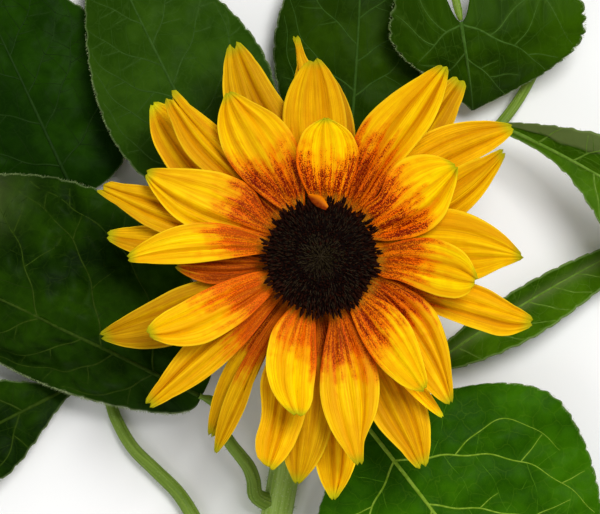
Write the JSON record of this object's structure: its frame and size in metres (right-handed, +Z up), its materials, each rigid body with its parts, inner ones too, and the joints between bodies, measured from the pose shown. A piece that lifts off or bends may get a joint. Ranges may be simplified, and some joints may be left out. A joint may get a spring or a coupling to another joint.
{
  "type": "cut sunflower flowering stem",
  "caption": "Cut flowering stem of a two-coloured sunflower: an open bloom with leaves, lying on its stem with the flower facing up.",
  "frame": {"origin": "middle of the footprint at ground level", "axes": "+Z up out of the flower's face, +Y towards the top of the picture, the stem lies roughly along -Y"},
  "size_m": [0.3298, 0.3374, 0.0703],
  "materials": {
    "petal": "satin",
    "curled_petal": "satin",
    "disc": "matt",
    "green_cup": "matt",
    "leaf": "satin",
    "stem": "matt"
  },
  "bodies": {
    "root": {"cup_with_bracts": "green_cup", "disc": "disc", "leaf_far_left": "leaf", "leaf_left": "leaf", "leaf_low_left": "leaf", "leaf_low_right": "leaf", "leaf_right": "leaf", "leaf_right_low": "leaf", "leaf_top": "leaf", "leaf_top_left": "leaf", "leaf_top_right": "leaf", "neck": "stem", "petiole_far_left": "stem", "petiole_left": "stem", "petiole_low_left": "stem", "petiole_low_right": "stem", "petiole_right": "stem", "petiole_right_low": "stem", "petiole_top": "stem", "petiole_top_left": "stem", "petiole_top_right": "stem", "petiole_top_right_end": "stem", "ray_01": "petal", "ray_02": "petal", "ray_03": "petal", "ray_04": "petal", "ray_05": "petal", "ray_06": "petal", "ray_07": "petal", "ray_08": "petal", "ray_09": "petal", "ray_10": "petal", "ray_11": "petal", "ray_12": "petal", "ray_13": "petal", "ray_14": "petal", "ray_15": "petal", "ray_16": "petal", "ray_17": "petal", "ray_18": "petal", "ray_19": "petal", "ray_20": "petal", "ray_21": "petal", "ray_22": "petal", "ray_23": "petal", "ray_24": "petal", "ray_25": "petal", "ray_26": "petal", "ray_27": "petal", "ray_28": "petal", "ray_29": "petal", "ray_30": "petal", "ray_31": "petal", "ray_32": "petal", "ray_33": "petal", "ray_34": "petal", "ray_35": "petal", "stem": "stem", "stray_ray": "curled_petal"}
  },
  "joints": []
}
